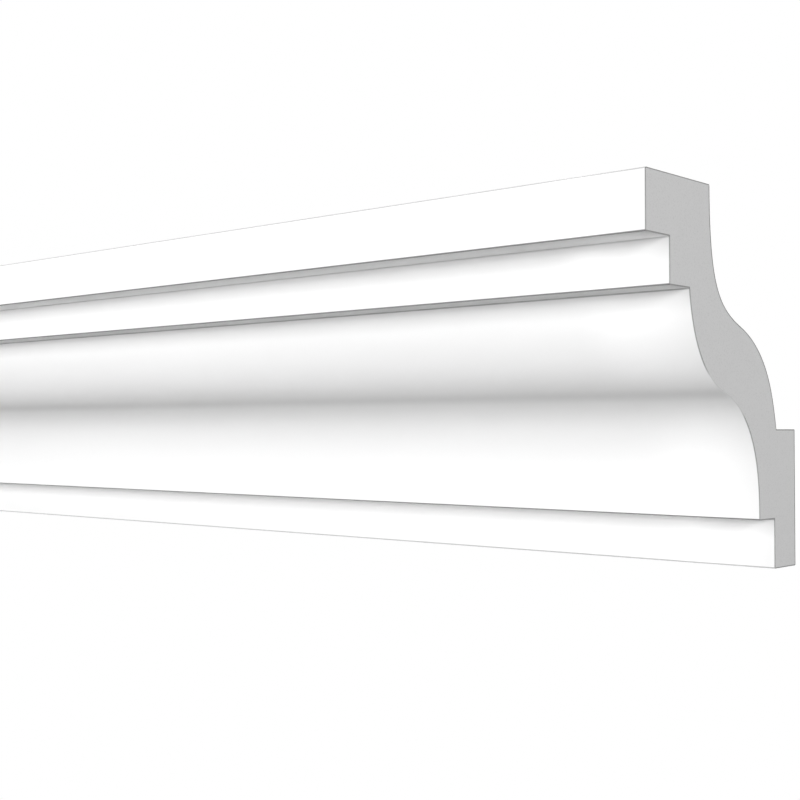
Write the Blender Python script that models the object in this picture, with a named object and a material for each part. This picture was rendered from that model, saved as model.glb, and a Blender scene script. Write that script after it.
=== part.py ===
"""A length of cornice moulding, the kind fixed where a wall meets the ceiling.

Metres, +Z up. X runs along the moulding, -Y is the room side and +Y the wall side. The origin
is the middle of the flat wall plate, halfway along the length.
"""

from math import cos, radians, sin

import bmesh
import bpy

# The whole length and the box of its section.
LENGTH = 1.000
HEIGHT = 0.150
PROJECTION = 0.1176

# The room side, from the ceiling down: two stepped fascias, the ogee, a set-back foot fascia.
CROWN_HEIGHT = 0.0229
CROWN_SETBACK = 0.0165
SECOND_HEIGHT = 0.0178
SECOND_SETBACK = 0.0143
FOOT_HEIGHT = 0.0203
FOOT_SETBACK = 0.0130
FOOT_THICKNESS = 0.0188

# The wall side: the ceiling face, the hollow back and the wall plate.
CEILING_WIDTH = 0.0462
PLATE_HEIGHT = 0.0568
REBATE = 0.0167

# Each ogee is two cubic curves that meet at its bend, where it is steepest. A bend is given as its
# depth behind the crown's face and its drop below the ceiling. Leans are angles from the vertical
# at the top, the bend and the foot, and pulls are the lengths of the four handles, from the top down.
FRONT_BEND = (0.0582, 0.0796)
FRONT_LEANS = (6.4, 72.0, 0.0)
FRONT_PULLS = (0.0320, 0.0050, 0.0285, 0.0136)
BACK_BEND = (0.0707, 0.0529)
BACK_LEANS = (0.0, 69.7, 12.3)
BACK_PULLS = (0.0387, 0.0187, 0.0252, 0.0130)
HALF_OGEE_STEPS = 20

PAINT_COLOUR = (0.86, 0.86, 0.86, 1.0)
PAINT_ROUGHNESS = 0.5


def cubic(start, start_lean, start_pull, end, end_lean, end_pull):
    """Points of a curve that leaves and arrives at the given leans, both ends included."""
    a, b = radians(start_lean), radians(end_lean)
    leaving = (start[0] + start_pull * sin(a), start[1] - start_pull * cos(a))
    arriving = (end[0] - end_pull * sin(b), end[1] + end_pull * cos(b))
    points = []
    for step in range(HALF_OGEE_STEPS + 1):
        t = step / HALF_OGEE_STEPS
        weights = ((1 - t) ** 3, 3 * (1 - t) ** 2 * t, 3 * (1 - t) * t**2, t**3)
        corners = (start, leaving, arriving, end)
        points.append(tuple(sum(w * c[axis] for w, c in zip(weights, corners)) for axis in (0, 1)))
    return points


def ogee(top, bend, foot, leans, pulls):
    """Points of an S curve from top down to foot, both ends included."""
    upper = cubic(top, leans[0], pulls[0], bend, leans[1], pulls[1])
    lower = cubic(bend, leans[1], pulls[2], foot, leans[2], pulls[3])
    return upper + lower[1:]


def section():
    """The closed outline as (y, z) points, from the front of the ceiling face round to its back."""
    bottom = -PLATE_HEIGHT / 2
    top = bottom + HEIGHT
    crown_foot = top - CROWN_HEIGHT
    second_foot = crown_foot - SECOND_HEIGHT
    foot_top = bottom + FOOT_HEIGHT
    plate_top = bottom + PLATE_HEIGHT

    crown = -PROJECTION
    second = crown + CROWN_SETBACK
    ogee_top = second + SECOND_SETBACK
    foot = -FOOT_THICKNESS
    ogee_foot = foot - FOOT_SETBACK

    fascias = [(crown, top), (crown, crown_foot), (second, crown_foot), (second, second_foot)]
    front_bend = (crown + FRONT_BEND[0], top - FRONT_BEND[1])
    front = ogee((ogee_top, second_foot), front_bend, (ogee_foot, foot_top), FRONT_LEANS, FRONT_PULLS)
    plate = [(foot, foot_top), (foot, bottom), (0.0, bottom), (0.0, plate_top)]
    back_bend = (crown + BACK_BEND[0], top - BACK_BEND[1])
    back = ogee((crown + CEILING_WIDTH, top), back_bend, (-REBATE, plate_top), BACK_LEANS, BACK_PULLS)
    return fascias + front + plate + back[::-1]


def primed_paint():
    """White satin primer, the finish that the moulding is sold in."""
    material = bpy.data.materials.new("white_primer")
    material.use_nodes = True
    shader = material.node_tree.nodes["Principled BSDF"]
    shader.inputs["Base Color"].default_value = PAINT_COLOUR
    shader.inputs["Roughness"].default_value = PAINT_ROUGHNESS
    shader.inputs["Metallic"].default_value = 0.0
    return material


def moulding():
    """The section drawn at one cut end and extruded square to the other."""
    shape = bmesh.new()
    outline = [shape.verts.new((-LENGTH / 2, y, z)) for y, z in section()]
    end = shape.faces.new(outline)
    drawn = bmesh.ops.extrude_face_region(shape, geom=[end])
    far_end = [item for item in drawn["geom"] if isinstance(item, bmesh.types.BMVert)]
    bmesh.ops.translate(shape, verts=far_end, vec=(LENGTH, 0.0, 0.0))
    bmesh.ops.recalc_face_normals(shape, faces=shape.faces)

    mesh = bpy.data.meshes.new("cornice_moulding")
    shape.to_mesh(mesh)
    shape.free()
    mesh.shade_smooth()
    mesh.set_sharp_from_angle(angle=radians(30))
    mesh.materials.append(primed_paint())
    piece = bpy.data.objects.new("cornice_moulding", mesh)
    bpy.context.scene.collection.objects.link(piece)
    return piece


for leftover in list(bpy.data.objects):
    bpy.data.objects.remove(leftover)
moulding()
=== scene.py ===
"""A straight length of cornice moulding, moulded in one piece and primed white on its room side.

X runs along the moulding, -Y faces the room, +Y the wall, +Z the ceiling. Metres throughout.
"""

from math import cos, radians, sin

import bpy
from mathutils import Matrix, Vector


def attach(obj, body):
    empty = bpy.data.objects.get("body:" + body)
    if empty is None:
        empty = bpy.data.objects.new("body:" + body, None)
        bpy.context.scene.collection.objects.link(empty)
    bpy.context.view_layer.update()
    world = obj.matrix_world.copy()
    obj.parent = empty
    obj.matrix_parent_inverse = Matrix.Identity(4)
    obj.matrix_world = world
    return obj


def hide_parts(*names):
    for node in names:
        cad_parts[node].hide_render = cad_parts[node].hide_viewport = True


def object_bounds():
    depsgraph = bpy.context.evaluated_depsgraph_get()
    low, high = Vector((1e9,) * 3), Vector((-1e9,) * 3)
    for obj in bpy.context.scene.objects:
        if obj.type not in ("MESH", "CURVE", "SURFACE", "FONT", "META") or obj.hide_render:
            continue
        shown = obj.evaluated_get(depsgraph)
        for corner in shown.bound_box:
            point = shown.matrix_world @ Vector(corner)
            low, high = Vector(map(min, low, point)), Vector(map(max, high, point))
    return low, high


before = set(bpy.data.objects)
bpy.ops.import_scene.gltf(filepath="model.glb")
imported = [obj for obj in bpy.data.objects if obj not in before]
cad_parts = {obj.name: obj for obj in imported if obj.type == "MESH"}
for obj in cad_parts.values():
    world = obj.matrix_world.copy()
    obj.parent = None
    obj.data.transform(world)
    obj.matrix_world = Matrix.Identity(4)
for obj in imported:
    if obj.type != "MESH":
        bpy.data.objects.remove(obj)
cad_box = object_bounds()


# The moulding: one length of rigid foam, cast in a long mould that gives it a dense smooth skin,
# then sprayed with white primer on the side that faces the room and sawn square to length.
# The section is drawn as straight faces and two ogees, its arrises are eased, and it is swept.

LENGTH = cad_box[1].x - cad_box[0].x
CROWN_FACE, WALL_FACE = cad_box[0].y, cad_box[1].y
BOTTOM_EDGE, CEILING_FACE = cad_box[0].z, cad_box[1].z

section_sizes = {
    "Length": LENGTH,
    "Projection": WALL_FACE - CROWN_FACE,
    "Height": CEILING_FACE - BOTTOM_EDGE,
    "Crown height": 0.0229,
    "Crown setback": 0.0165,
    "Second height": 0.0178,
    "Second setback": 0.0143,
    "Foot height": 0.0203,
    "Foot setback": 0.0130,
    "Foot thickness": 0.0188,
    "Ceiling width": 0.0462,
    "Plate height": 0.0568,
    "Rebate": 0.0167,
    "Front bend depth": 0.0582,
    "Front bend drop": 0.0796,
    "Back bend depth": 0.0707,
    "Back bend drop": 0.0529,
    "Arris radius": 0.0004,
    "Point spacing": 0.0010,
    "Skin depth": 0.0007,
}
RINGS, OGEE_POINTS, ARRIS_STEPS = 20, 400, 4
# Points nearer than these are one, on the outline and on the whole mesh.
OUTLINE_WELD, MESH_WELD = 1e-5, 2e-6
# How far past a sawn end a ring has to lie to be the one that closes in on it.
PAST_END = 0.001
# Each ogee's leans from the vertical, in degrees, at its top, bend and foot, and the lengths of the
# four handles that shape it, from the top down.
FRONT_LEANS, FRONT_PULLS = (6.4, 72.0, 0.0), (0.0320, 0.0050, 0.0285, 0.0136)
BACK_LEANS, BACK_PULLS = (0.0, 69.7, 12.3), (0.0387, 0.0187, 0.0252, 0.0130)


def put(tree, kind, inputs=None, **settings):
    """Adds a node, and gives each input a value or joins it to a socket."""
    node = tree.nodes.new(kind)
    for name, value in settings.items():
        setattr(node, name, value)
    for key, value in (inputs or {}).items():
        if isinstance(value, bpy.types.NodeSocket):
            tree.links.new(value, node.inputs[key])
        else:
            node.inputs[key].default_value = value
    return node


def sum_of(tree, *terms):
    """Adds up sockets and numbers, taking away those given as ("-", term)."""
    total = 0.0
    for term in terms:
        sign, term = ("SUBTRACT", term[1]) if isinstance(term, tuple) else ("ADD", term)
        total = put(tree, "ShaderNodeMath", {0: total, 1: term}, operation=sign).outputs[0]
    return total


def maths(tree, operation, *values):
    return put(tree, "ShaderNodeMath", dict(enumerate(values)), operation=operation).outputs[0]


def vectors(tree, operation, *values, output=0):
    return put(tree, "ShaderNodeVectorMath", dict(enumerate(values)), operation=operation).outputs[output]


def section_outline(tree, size):
    """The corners of the section, and the runs between them, on the room side and the wall side."""
    crown = sum_of(tree, ("-", size["Projection"]))
    second = sum_of(tree, crown, size["Crown setback"])
    ogee_top = sum_of(tree, second, size["Second setback"])
    foot = sum_of(tree, ("-", size["Foot thickness"]))
    ogee_foot = sum_of(tree, foot, ("-", size["Foot setback"]))
    ledge = sum_of(tree, ("-", size["Rebate"]))
    hollow = sum_of(tree, crown, size["Ceiling width"])

    bottom = maths(tree, "MULTIPLY", size["Plate height"], -0.5)
    top = sum_of(tree, bottom, size["Height"])
    crown_foot = sum_of(tree, top, ("-", size["Crown height"]))
    second_foot = sum_of(tree, crown_foot, ("-", size["Second height"]))
    foot_top = sum_of(tree, bottom, size["Foot height"])
    plate_top = sum_of(tree, bottom, size["Plate height"])

    def at(y, z):
        return put(tree, "ShaderNodeCombineXYZ", {0: y, 1: z}).outputs[0]

    def run(start, end):
        return put(tree, "GeometryNodeCurvePrimitiveLine", {"Start": start, "End": end}).outputs[0]

    def half_ogee(start, start_lean, start_pull, end, end_lean, end_pull):
        leaves, arrives = radians(start_lean), radians(end_lean)
        out = (start_pull * sin(leaves), -start_pull * cos(leaves), 0.0)
        back = (-end_pull * sin(arrives), end_pull * cos(arrives), 0.0)
        start_handle, end_handle = vectors(tree, "ADD", start, out), vectors(tree, "ADD", end, back)
        inputs = {"Resolution": OGEE_POINTS, "Start": start, "Start Handle": start_handle}
        inputs.update({"End Handle": end_handle, "End": end})
        return put(tree, "GeometryNodeCurvePrimitiveBezierSegment", inputs).outputs[0]

    def ogee(start, bend, end, leans, pulls):
        upper = half_ogee(start, leans[0], pulls[0], bend, leans[1], pulls[1])
        return [upper, half_ogee(bend, leans[1], pulls[2], end, leans[2], pulls[3])]

    def bend_point(side):
        y = sum_of(tree, crown, size[side + " bend depth"])
        return at(y, sum_of(tree, top, ("-", size[side + " bend drop"])))

    room = [at(crown, top), at(crown, crown_foot), at(second, crown_foot), at(second, second_foot)]
    room += [at(ogee_top, second_foot)]
    low = [at(ogee_foot, foot_top), at(foot, foot_top), at(foot, bottom), at(0.0, bottom)]
    wall = [low[-1], at(0.0, plate_top), at(ledge, plate_top)]
    hollow_top = at(hollow, top)

    room_runs = [run(a, b) for a, b in zip(room, room[1:])] + [run(a, b) for a, b in zip(low, low[1:])]
    room_runs += ogee(room[-1], bend_point("Front"), low[0], FRONT_LEANS, FRONT_PULLS)
    wall_runs = [run(a, b) for a, b in zip(wall, wall[1:])] + [run(hollow_top, room[0])]
    wall_runs += ogee(hollow_top, bend_point("Back"), wall[-1], BACK_LEANS, BACK_PULLS)
    return room_runs, wall_runs


def joined(tree, parts):
    node = tree.nodes.new("GeometryNodeJoinGeometry")
    for part in parts:
        tree.links.new(part, node.inputs[0])
    return node.outputs[0]


def stored(tree, geometry, name, value, kind="FLOAT"):
    """Keeps a value at every point under a name that the finishes or the sweep read."""
    inputs = {"Geometry": geometry, "Name": name, "Value": value}
    return put(tree, "GeometryNodeStoreNamedAttribute", inputs, data_type=kind).outputs[0]


def read(tree, name, kind="FLOAT"):
    return put(tree, "GeometryNodeInputNamedAttribute", {"Name": name}, data_type=kind).outputs[0]


def corner_and_skin_line(tree, outline, skin_depth):
    """Marks the arrises with 1 and the inner corners with -1, and keeps each point's place on a line
    that runs inside the outline at the depth of the skin, so that the sawn end can show it."""
    here = tree.nodes.new("GeometryNodeInputPosition").outputs[0]
    number = tree.nodes.new("GeometryNodeInputIndex").outputs[0]

    def neighbour(offset):
        step = put(tree, "GeometryNodeOffsetPointInCurve", {"Point Index": number, "Offset": offset})
        inputs = {"Value": here, "Index": step.outputs["Point Index"]}
        return put(tree, "GeometryNodeFieldAtIndex", inputs, data_type="FLOAT_VECTOR").outputs[0]

    arriving = vectors(tree, "NORMALIZE", vectors(tree, "SUBTRACT", here, neighbour(-1)))
    leaving = vectors(tree, "NORMALIZE", vectors(tree, "SUBTRACT", neighbour(1), here))
    crossed = vectors(tree, "CROSS_PRODUCT", arriving, leaving)
    turn = put(tree, "ShaderNodeSeparateXYZ", {0: crossed}).outputs[2]

    across = [vectors(tree, "CROSS_PRODUCT", (0.0, 0.0, 1.0), way) for way in (arriving, leaving)]
    spread = sum_of(tree, 1.0, vectors(tree, "DOT_PRODUCT", *across, output=1))
    reach = maths(tree, "DIVIDE", skin_depth, spread)
    inward = vectors(tree, "ADD", *across)
    moved = put(tree, "ShaderNodeVectorMath", {0: inward, "Scale": reach}, operation="SCALE").outputs[0]
    outline = stored(tree, outline, "skin_line", vectors(tree, "ADD", here, moved), "FLOAT_VECTOR")
    return stored(tree, outline, "corner", maths(tree, "ROUND", turn))


def moulding_tree():
    tree = bpy.data.node_groups.new("cornice_length", "GeometryNodeTree")
    for name, value in section_sizes.items():
        socket = tree.interface.new_socket(name, in_out="INPUT", socket_type="NodeSocketFloat")
        socket.default_value = value
        socket.subtype = "DISTANCE"
    tree.interface.new_socket("Rings", in_out="INPUT", socket_type="NodeSocketInt").default_value = RINGS
    for name in ("Room side", "Wall side", "Sawn end"):
        tree.interface.new_socket(name, in_out="INPUT", socket_type="NodeSocketMaterial")
    tree.interface.new_socket("Moulding", in_out="OUTPUT", socket_type="NodeSocketGeometry")
    size = tree.nodes.new("NodeGroupInput").outputs

    room_runs, wall_runs = section_outline(tree, size)
    room_side = stored(tree, joined(tree, room_runs), "room_side", 1.0)
    wall_side = stored(tree, joined(tree, wall_runs), "room_side", 0.0)
    inputs = {"Curve": joined(tree, [room_side, wall_side]), "Length": size["Point spacing"]}
    runs = put(tree, "GeometryNodeResampleCurve", inputs, mode="LENGTH").outputs[0]
    wire = put(tree, "GeometryNodeCurveToMesh", {"Curve": runs}).outputs[0]
    wire = put(tree, "GeometryNodeMergeByDistance", {"Geometry": wire, "Distance": OUTLINE_WELD}).outputs[0]
    outline = put(tree, "GeometryNodeMeshToCurve", {"Mesh": wire}).outputs[0]
    outline = put(tree, "GeometryNodeReverseCurve", {"Curve": outline}).outputs[0]
    outline = corner_and_skin_line(tree, outline, size["Skin depth"])

    easing = maths(tree, "MULTIPLY", maths(tree, "ABSOLUTE", read(tree, "corner")), size["Arris radius"])
    inputs = {"Curve": outline, "Count": ARRIS_STEPS, "Radius": easing}
    eased = put(tree, "GeometryNodeFilletCurve", inputs, mode="POLY").outputs[0]

    half = maths(tree, "MULTIPLY", size["Length"], 0.5)
    beyond = sum_of(tree, half, maths(tree, "DIVIDE", size["Length"], size["Rings"]))
    start = put(tree, "ShaderNodeCombineXYZ", {2: maths(tree, "MULTIPLY", beyond, -1.0)}).outputs[0]
    end = put(tree, "ShaderNodeCombineXYZ", {2: beyond}).outputs[0]
    path = put(tree, "GeometryNodeCurvePrimitiveLine", {"Start": start, "End": end}).outputs[0]
    inputs = {"Curve": path, "Count": sum_of(tree, size["Rings"], 3.0)}
    path = put(tree, "GeometryNodeResampleCurve", inputs, mode="COUNT").outputs[0]
    sides = put(tree, "GeometryNodeCurveToMesh", {"Curve": path, "Profile Curve": eased}).outputs[0]

    # The first and the last ring close in on the sawn ends, from the outline to the line of the skin.
    place = put(tree, "ShaderNodeSeparateXYZ", {0: tree.nodes.new("GeometryNodeInputPosition").outputs[0]})
    from_midpoint = maths(tree, "ABSOLUTE", place.outputs[2])
    past_end = maths(tree, "GREATER_THAN", from_midpoint, sum_of(tree, half, PAST_END))
    depth = maths(tree, "MULTIPLY", past_end, size["Skin depth"])
    sides = stored(tree, sides, "from_skin", depth)
    skin_line = put(tree, "ShaderNodeSeparateXYZ", {0: read(tree, "skin_line", "FLOAT_VECTOR")}).outputs
    end_plane = maths(tree, "MULTIPLY", maths(tree, "SIGN", place.outputs[2]), half)
    inputs = {0: skin_line[0], 1: skin_line[1], 2: end_plane}
    closed_in = put(tree, "ShaderNodeCombineXYZ", inputs).outputs[0]
    inputs = {0: read(tree, "from_skin")}
    is_past = put(tree, "FunctionNodeCompare", inputs, operation="GREATER_THAN").outputs[0]
    inputs = {"Geometry": sides, "Selection": is_past, "Position": closed_in}
    sides = put(tree, "GeometryNodeSetPosition", inputs).outputs[0]

    inputs = {"Geometry": outline, "Position": read(tree, "skin_line", "FLOAT_VECTOR")}
    core = put(tree, "GeometryNodeSetPosition", inputs).outputs[0]
    core = put(tree, "GeometryNodeFillCurve", {"Curve": core}, mode="TRIANGLES").outputs[0]
    core = stored(tree, core, "from_skin", size["Skin depth"])
    ends = []
    for side in (1.0, -1.0):
        offset = put(tree, "ShaderNodeCombineXYZ", {2: maths(tree, "MULTIPLY", half, side)}).outputs[0]
        placed = put(tree, "GeometryNodeTransform", {"Geometry": core, "Translation": offset})
        ends.append(placed.outputs[0])
    ends[1] = put(tree, "GeometryNodeFlipFaces", {"Mesh": ends[1]}).outputs[0]
    body = joined(tree, [sides, *ends])
    body = put(tree, "GeometryNodeMergeByDistance", {"Geometry": body, "Distance": MESH_WELD}).outputs[0]

    # So far X is depth, Y is height and Z runs along. One turn brings the length onto X.
    inputs = {"Geometry": body, "Rotation": (radians(90), 0.0, radians(90))}
    body = put(tree, "GeometryNodeTransform", inputs).outputs[0]

    facing = put(tree, "ShaderNodeSeparateXYZ", {0: tree.nodes.new("GeometryNodeInputNormal").outputs[0]})
    inputs = {0: maths(tree, "ABSOLUTE", facing.outputs[0]), 1: 0.5}
    on_end = put(tree, "FunctionNodeCompare", inputs, operation="GREATER_THAN").outputs[0]
    inputs = {0: read(tree, "room_side"), 1: 0.5}
    on_wall_side = put(tree, "FunctionNodeCompare", inputs, operation="LESS_THAN").outputs[0]
    smooth = put(tree, "GeometryNodeSetShadeSmooth", {"Geometry": body, "Shade Smooth": True}).outputs[0]
    inputs = {"Geometry": smooth, "Selection": on_end, "Shade Smooth": False}
    body = put(tree, "GeometryNodeSetShadeSmooth", inputs).outputs[0]
    body = put(tree, "GeometryNodeRealizeInstances", {"Geometry": body}).outputs[0]
    inputs = {"Geometry": body, "Material": size["Room side"]}
    body = put(tree, "GeometryNodeSetMaterial", inputs).outputs[0]
    inputs = {"Geometry": body, "Selection": on_wall_side, "Material": size["Wall side"]}
    body = put(tree, "GeometryNodeSetMaterial", inputs).outputs[0]
    inputs = {"Geometry": body, "Selection": on_end, "Material": size["Sawn end"]}
    body = put(tree, "GeometryNodeSetMaterial", inputs).outputs[0]
    made = tree.nodes.new("NodeGroupOutput")
    tree.links.new(body, made.inputs[0])
    return tree


def foam_grain_group():
    """Slow unevenness and fine grain, as a sprayed or a moulded skin has them, in metres of the object."""
    group = bpy.data.node_groups.new("foam_grain", "ShaderNodeTree")
    place = group.interface.new_socket("Place", in_out="INPUT", socket_type="NodeSocketVector")
    place.hide_value = True
    for name, value in {"Patch size": 0.05, "Grain size": 0.0012, "Draw along": 0.2}.items():
        socket = group.interface.new_socket(name, in_out="INPUT", socket_type="NodeSocketFloat")
        socket.default_value = value
    for name in ("Patches", "Grain"):
        group.interface.new_socket(name, in_out="OUTPUT", socket_type="NodeSocketFloat")
    given = group.nodes.new("NodeGroupInput").outputs
    drawn = put(group, "ShaderNodeCombineXYZ", {0: given["Draw along"], 1: 1.0, 2: 1.0}).outputs[0]
    drawn = vectors(group, "MULTIPLY", given["Place"], drawn)
    made = group.nodes.new("NodeGroupOutput")
    patches, fine_grain = (given["Patch size"], drawn, 3.0), (given["Grain size"], given["Place"], 2.0)
    for name, (spacing, where, detail) in {"Patches": patches, "Grain": fine_grain}.items():
        inputs = {"Vector": where, "Scale": maths(group, "DIVIDE", 1.0, spacing), "Detail": detail}
        group.links.new(put(group, "ShaderNodeTexNoise", inputs).outputs[0], made.inputs[name])
    return group


foam_grain = foam_grain_group()


def ramp(tree, value, low, high, from_value=0.0, to_value=1.0, shape="SMOOTHSTEP"):
    inputs = {"Value": value, "From Min": low, "From Max": high, "To Min": from_value, "To Max": to_value}
    return put(tree, "ShaderNodeMapRange", inputs, interpolation_type=shape).outputs[0]


def mixed(tree, share, a, b):
    node = put(tree, "ShaderNodeMix", {0: share, 6: a, 7: b}, data_type="RGBA")
    return node.outputs[2]


def grey(value):
    return (value, value, value, 1.0)


def finish(name):
    """A material with its Principled shader, and the object's own coordinates to paint by."""
    material = bpy.data.materials.new(name)
    material.use_nodes = True
    shader = material.node_tree.nodes["Principled BSDF"]
    place = material.node_tree.nodes.new("ShaderNodeTexCoord").outputs["Object"]
    return material, material.node_tree, shader, place


def kept(tree, name):
    return put(tree, "ShaderNodeAttribute", attribute_name=name).outputs["Fac"]


def roughened(tree, shader, relief, depth, strength):
    inputs = {"Height": relief, "Distance": depth, "Strength": strength}
    tree.links.new(put(tree, "ShaderNodeBump", inputs).outputs[0], shader.inputs["Normal"])


def grained(tree, place, patch, grain, draw):
    inputs = {"Place": place, "Patch size": patch, "Grain size": grain, "Draw along": draw}
    return put(tree, "ShaderNodeGroup", inputs, node_tree=foam_grain).outputs


# The last two greys are painted shade in the inner corners, darker in the lower ones.
PRIMER, THIN_PRIMER, CORNER_SHADE, DEEP_CORNER_SHADE = 0.86, 0.23, 0.73, 0.50
# The first two greys are painted shade on the second fascia's soffit and on the ogee's bend; the next two
# are painted shade on the crown soffit's outer half and painted light on its inner half.
SOFFIT_SHADE, PAINTED_BEND_SHADE, OUTER_SOFFIT_SHADE, INNER_SOFFIT_LIGHT = 0.77, 0.80, 0.82, 0.92
PRIMER_PATCHINESS, PRIMER_ROUGHNESS = 0.02, (0.46, 0.56)
PATCH_RANGE = (0.3, 0.7)
# The corner mark is 1 on an arris and -1 in an inner corner. Between these shares of it, thin primer
# and the painted shade of the inner corners fade in.
ON_ARRIS, IN_CORNER_SHADE = (0.65, 0.90), (0.60, 0.95)
# The arrises along the top and the bottom are worn to this share, within this band, which fades.
OUTER_WEAR, OUTER_BAND, OUTER_FADE = 0.55, 0.002, 0.002
# The chipping is full up to the first distance from the saw cut, and gone by the second.
CHIPPING, CHIP_STRENGTH = (0.00016, 0.00034), 0.7
# A band's reach on each side of its level, and the width in which it fades.
FLAT_FACE, BEND_SHADE = (0.0001, 0.0002), (0.0, 0.0030)
CLEAN_CUT, BACK_LEAN = (0.005, 0.006), (0.006, 0.006)

CROWN_FOOT = CEILING_FACE - section_sizes["Crown height"]
SECOND_FOOT = CROWN_FOOT - section_sizes["Second height"]
LEDGE = BOTTOM_EDGE + section_sizes["Plate height"]
FRONT_BEND = CEILING_FACE - section_sizes["Front bend drop"]
BACK_BEND = CEILING_FACE - section_sizes["Back bend drop"]


def close_to(tree, height, level, reach, fade):
    """1 within reach of a level, and fading to 0 beyond it."""
    return ramp(tree, maths(tree, "ABSOLUTE", sum_of(tree, height, -level)), reach, reach + fade, 1.0, 0.0)


def off_the_bend(tree, height):
    """0 at the front ogee's bend, where it leans most and the saw cuts its edge clean, and 1 elsewhere."""
    return sum_of(tree, 1.0, ("-", close_to(tree, height, FRONT_BEND, *CLEAN_CUT)))


def white_primer():
    """Satin and slightly orange-peeled. It is pulled thin over each sharp arris, where a hairline of
    grey skin shows, and chipped as finely along the saw cut. The inner corners carry painted shade,
    darker in the lower ones. The second fascia's soffit and the ogee's bend, which face down, carry
    painted shade too. The crown's soffit has painted shade on its outer half and painted light on its
    inner half."""
    material, tree, shader, place = finish("sprayed_primer")
    grain = grained(tree, place, patch=0.030, grain=0.0016, draw=0.12)
    dull, bright = grey(PRIMER - PRIMER_PATCHINESS), grey(PRIMER + PRIMER_PATCHINESS)
    coat = mixed(tree, grain["Patches"], dull, bright)
    along, depth, height = put(tree, "ShaderNodeSeparateXYZ", {0: place}).outputs

    # Painted shade on the crown soffit's outer half and painted light on its inner half, as bounce from the
    # fascia behind it would give.
    inward = ramp(tree, depth, CROWN_FACE, CROWN_FACE + section_sizes["Crown setback"])
    soffit_shade_and_light = mixed(tree, inward, grey(OUTER_SOFFIT_SHADE), grey(INNER_SOFFIT_LIGHT))
    coat = mixed(tree, close_to(tree, height, CROWN_FOOT, *FLAT_FACE), coat, soffit_shade_and_light)
    # Painted shade on the second fascia's soffit, which faces down.
    coat = mixed(tree, close_to(tree, height, SECOND_FOOT, *FLAT_FACE), coat, grey(SOFFIT_SHADE))
    # Painted shade in a band along the ogee's bend, where it faces down most.
    coat = mixed(tree, close_to(tree, height, FRONT_BEND, *BEND_SHADE), coat, grey(PAINTED_BEND_SHADE))

    corner = kept(tree, "corner")
    # Painted shade in the inner corners, darker in the lower ones.
    painted_corner_shade = ramp(tree, height, SECOND_FOOT, CROWN_FOOT, DEEP_CORNER_SHADE, CORNER_SHADE)
    corner_shaded = mixed(tree, ramp(tree, maths(tree, "MULTIPLY", corner, -1.0), *IN_CORNER_SHADE), coat, painted_corner_shade)

    from_middle = maths(tree, "ABSOLUTE", sum_of(tree, height, -(BOTTOM_EDGE + CEILING_FACE) / 2))
    band_edge = (CEILING_FACE - BOTTOM_EDGE) / 2 - OUTER_BAND
    inner = ramp(tree, from_middle, band_edge - OUTER_FADE, band_edge, 1.0, OUTER_WEAR)
    thin = maths(tree, "MULTIPLY", ramp(tree, corner, *ON_ARRIS), inner)
    to_cut = sum_of(tree, LENGTH / 2, ("-", maths(tree, "ABSOLUTE", along)))
    chipped = ramp(tree, to_cut, *CHIPPING, CHIP_STRENGTH, 0.0)
    chipped = maths(tree, "MULTIPLY", chipped, off_the_bend(tree, height))
    worn = mixed(tree, maths(tree, "MAXIMUM", thin, chipped), corner_shaded, grey(THIN_PRIMER))

    tree.links.new(worn, shader.inputs["Base Color"])
    roughness = ramp(tree, grain["Patches"], *PATCH_RANGE, *PRIMER_ROUGHNESS)
    tree.links.new(roughness, shader.inputs["Roughness"])
    roughened(tree, shader, grain["Grain"], depth=0.00004, strength=0.35)
    return material


FOAM_SKIN, DARK_FOAM_SKIN = (0.80, 0.785, 0.75, 1.0), (0.70, 0.685, 0.65, 1.0)
FOAM_SKIN_ROUGHNESS = (0.62, 0.78)
BLEMISHES_PER_METRE, BLEMISH_SPREAD, BLEMISH_STRENGTH = 90.0, (0.06, 0.16), 0.35
# The overspray fades between these distances from the arris, and its edge wanders by up to this much.
OVERSPRAY, OVERSPRAY_WANDER = (-0.002, 0.006), 0.014


def bare_foam_skin():
    """The wall side isn't painted: the mould leaves a dull cream skin with small blemishes, and the
    primer's overspray reaches round the two arrises that it shares with the room side."""
    material, tree, shader, place = finish("bare_foam_skin")
    grain = grained(tree, place, patch=0.040, grain=0.0022, draw=0.35)
    spots = put(tree, "ShaderNodeTexVoronoi", {"Vector": place, "Scale": BLEMISHES_PER_METRE})
    blemish = ramp(tree, spots.outputs["Distance"], *BLEMISH_SPREAD, 1.0, 0.0)
    skin = mixed(tree, grain["Patches"], DARK_FOAM_SKIN, FOAM_SKIN)
    skin = mixed(tree, maths(tree, "MULTIPLY", blemish, BLEMISH_STRENGTH), skin, DARK_FOAM_SKIN)

    _, depth, height = put(tree, "ShaderNodeSeparateXYZ", {0: place}).outputs
    ragged = maths(tree, "MULTIPLY", grain["Patches"], OVERSPRAY_WANDER)
    from_crown = sum_of(tree, depth, -CROWN_FACE, ("-", ragged))
    from_foot = sum_of(tree, height, -BOTTOM_EDGE, ("-", ragged))
    sprayed = ramp(tree, maths(tree, "MINIMUM", from_crown, from_foot), *OVERSPRAY, 1.0, 0.0)

    tree.links.new(mixed(tree, sprayed, skin, grey(PRIMER)), shader.inputs["Base Color"])
    roughness = ramp(tree, grain["Patches"], *PATCH_RANGE, *FOAM_SKIN_ROUGHNESS)
    tree.links.new(roughness, shader.inputs["Roughness"])
    relief = sum_of(tree, grain["Grain"], ("-", blemish))
    roughened(tree, shader, relief, depth=0.00012, strength=0.5)
    return material


FOAM_CELLS, OPEN_CELLS, PRIMED_SKIN, BARE_SKIN = 0.86, 0.80, 0.42, 0.26
CELL_RANGE, SAWN_ROUGHNESS = (0.3, 0.5), 0.8
# The skin's rim is full up to the first depth, and gone by the second. Where it is primed or leans,
# it is this much thinner.
SKIN_RIM, RIM_THINNING, RIM_FADE = (0.00042, 0.00062), 0.00014, 0.0002


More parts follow.
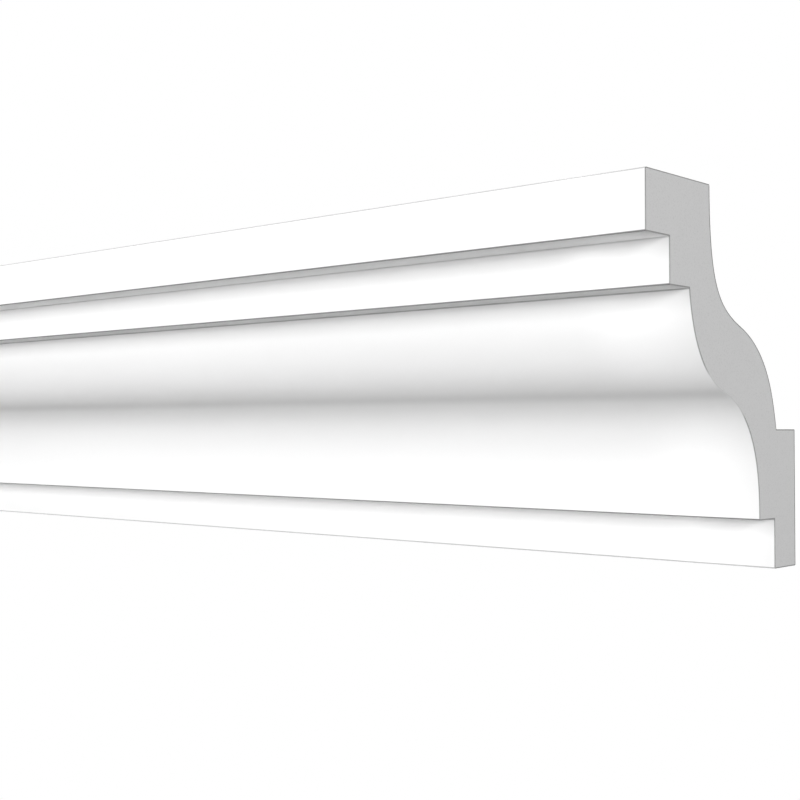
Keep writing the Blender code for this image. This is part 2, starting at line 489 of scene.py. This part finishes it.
def sawn_foam():
    """The saw opens the fine cells of the foam, inside the thin dense skin that outlines the end. The
    skin is darker on the wall side, where it is bare, and thicker there where it stands upright."""
    material, tree, shader, place = finish("sawn_foam")
    grain = grained(tree, place, patch=0.015, grain=0.0006, draw=1.0)
    cells = mixed(tree, ramp(tree, grain["Grain"], *CELL_RANGE), grey(OPEN_CELLS), grey(FOAM_CELLS))

    room_side = kept(tree, "room_side")
    height = put(tree, "ShaderNodeSeparateXYZ", {0: place}).outputs[2]
    on_top = close_to(tree, height, CEILING_FACE, section_sizes["Skin depth"], RIM_FADE)
    on_ledge = close_to(tree, height, LEDGE, section_sizes["Skin depth"], RIM_FADE)
    painted = maths(tree, "MAXIMUM", room_side, on_top)
    leaning = maths(tree, "MAXIMUM", on_ledge, close_to(tree, height, BACK_BEND, *BACK_LEAN))
    thinner = maths(tree, "MULTIPLY", maths(tree, "MAXIMUM", painted, leaning), RIM_THINNING)
    rim = ramp(tree, sum_of(tree, kept(tree, "from_skin"), thinner), *SKIN_RIM, 1.0, 0.0)
    shows = maths(tree, "MAXIMUM", off_the_bend(tree, height), sum_of(tree, 1.0, ("-", room_side)))
    rim = maths(tree, "MULTIPLY", rim, shows)
    skin = mixed(tree, painted, grey(BARE_SKIN), grey(PRIMED_SKIN))

    tree.links.new(mixed(tree, rim, cells, skin), shader.inputs["Base Color"])
    shader.inputs["Roughness"].default_value = SAWN_ROUGHNESS
    roughened(tree, shader, grain["Grain"], depth=0.0001, strength=0.5)
    return material


moulding_shape = moulding_tree()
guide = bpy.data.objects.new("moulding_guide", bpy.data.meshes.new("moulding_guide"))
bpy.context.scene.collection.objects.link(guide)
sweep = guide.modifiers.new("sweep", "NODES")
sweep.node_group = moulding_shape
finishes = {"Room side": white_primer(), "Wall side": bare_foam_skin(), "Sawn end": sawn_foam()}
for item in moulding_shape.interface.items_tree:
    if item.name in finishes and item.in_out == "INPUT":
        sweep[item.identifier] = finishes[item.name]
swept = bpy.data.meshes.new_from_object(guide.evaluated_get(bpy.context.evaluated_depsgraph_get()))
bpy.data.objects.remove(guide)
swept.materials.pop(index=0)
swept.name = "moulded_cornice"
moulding = bpy.data.objects.new("moulded_cornice", swept)
bpy.context.scene.collection.objects.link(moulding)
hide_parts("cornice_moulding")
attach(moulding, "root")


# The floor: a plain pale sheet far enough below the moulding to stay out of the photographed view.
# What it throws back up lights the undersides of the fascias. Its rim fades into the white surround.

FLOOR_DROP, FLOOR_SIDE, FLOOR_GREY, FLOOR_ROUGHNESS = 1.5, 3.4, 0.70, 0.7
FADE_STARTS, FADE_ENDS = 0.9, 1.65

floor_mesh = bpy.data.meshes.new("pale_floor")
half_side = FLOOR_SIDE / 2
ways = ((-1, -1), (1, -1), (1, 1), (-1, 1))
floor_corners = [(x * half_side, y * half_side, -FLOOR_DROP) for x, y in ways]
floor_mesh.from_pydata(floor_corners, [], [(0, 1, 2, 3)])
floor = bpy.data.objects.new("pale_floor", floor_mesh)
bpy.context.scene.collection.objects.link(floor)
floor_finish, floor_tree, floor_shader, floor_place = finish("pale_floor")
floor_shader.inputs["Base Color"].default_value = grey(FLOOR_GREY)
floor_shader.inputs["Roughness"].default_value = FLOOR_ROUGHNESS
flat_place = vectors(floor_tree, "MULTIPLY", floor_place, (1.0, 1.0, 0.0))
from_centre = vectors(floor_tree, "LENGTH", flat_place, output=1)
faded = ramp(floor_tree, from_centre, FADE_STARTS, FADE_ENDS, 1.0, 0.0)
floor_tree.links.new(faded, floor_shader.inputs["Alpha"])
floor_mesh.materials.append(floor_finish)


# The studio: a white surround, dim as a light, a low and a high softbox straight in front of the
# moulding, a weaker one off each end, a faint one overhead, and one behind for the wall side.

AMBIENT = 0.03

scene = bpy.context.scene
scene.view_settings.view_transform = "Standard"
studio = bpy.data.worlds.new("white_studio")
scene.world = studio
studio.use_nodes = True
surround = studio.node_tree
background = surround.nodes["Background"]
background.inputs["Color"].default_value = grey(1.0)
seen = surround.nodes.new("ShaderNodeLightPath").outputs["Is Camera Ray"]
surround.links.new(ramp(surround, seen, 0.0, 1.0, AMBIENT, 1.0, "LINEAR"), background.inputs["Strength"])

lit_point = Vector((0.0, -0.06, 0.05))


def softbox(name, azimuth, elevation, power, distance=3.5, width=1.6, height=1.6, spread=180):
    """Azimuth 0 is straight in front of the moulding, 90 is off its near end. Watts, metres, degrees."""
    lamp = bpy.data.lights.new(name, "AREA")
    lamp.shape = "RECTANGLE"
    lamp.size, lamp.size_y = width, height
    lamp.energy = power
    lamp.spread = radians(spread)
    turn, lift = radians(azimuth), radians(elevation)
    towards = Vector((sin(turn) * cos(lift), -cos(turn) * cos(lift), sin(lift)))
    aim = (-towards).to_track_quat("-Z", "Y").to_matrix().to_4x4()
    box = bpy.data.objects.new(name, lamp)
    box.matrix_world = Matrix.Translation(lit_point + towards * distance) @ aim
    scene.collection.objects.link(box)


softbox("front_low_softbox", azimuth=0, elevation=0, power=72.0, width=1.5, height=1.4)
softbox("front_high_softbox", azimuth=0, elevation=20, power=68.0, width=1.5, height=1.4)
softbox("near_end_softbox", azimuth=81, elevation=9, power=56.0, width=1.4, height=1.4)
softbox("far_end_softbox", azimuth=-90, elevation=10, power=32.0, width=1.4, height=1.4)
softbox("overhead_softbox", azimuth=0, elevation=88, power=7.0, distance=3.0, spread=60)
softbox("rear_softbox", azimuth=180, elevation=12, power=10.0, spread=60)


# The camera stands at the near end of the moulding, below its crown, as the photograph's did. It is
# placed from the crown's near corner, which it has ahead of it, to its right and above it.

AZIMUTH, PITCH = radians(41.836), radians(1.332)
FOCAL_PIXELS, IMAGE_PIXELS, SENSOR, NEAREST = 1322.0, 800, 36.0, 0.01
CROWN_TO_RIGHT, CROWN_ABOVE, CROWN_AHEAD = 0.08695, 0.09377, 0.46679

near_crown = Vector((LENGTH / 2, CROWN_FACE, CEILING_FACE))
rightward, upward = Vector((cos(AZIMUTH), sin(AZIMUTH), 0.0)), Vector((0.0, 0.0, 1.0))
forward = Vector((-sin(AZIMUTH), cos(AZIMUTH), 0.0))
viewer = bpy.data.cameras.new("viewer")
viewer.sensor_width = SENSOR
viewer.lens = SENSOR * FOCAL_PIXELS / IMAGE_PIXELS
viewer.clip_start = NEAREST
eye = bpy.data.objects.new("viewer", viewer)
eye.location = near_crown - CROWN_TO_RIGHT * rightward - CROWN_ABOVE * upward - CROWN_AHEAD * forward
eye.rotation_euler = (radians(90) + PITCH, 0.0, AZIMUTH)
scene.collection.objects.link(eye)
scene.camera = eye
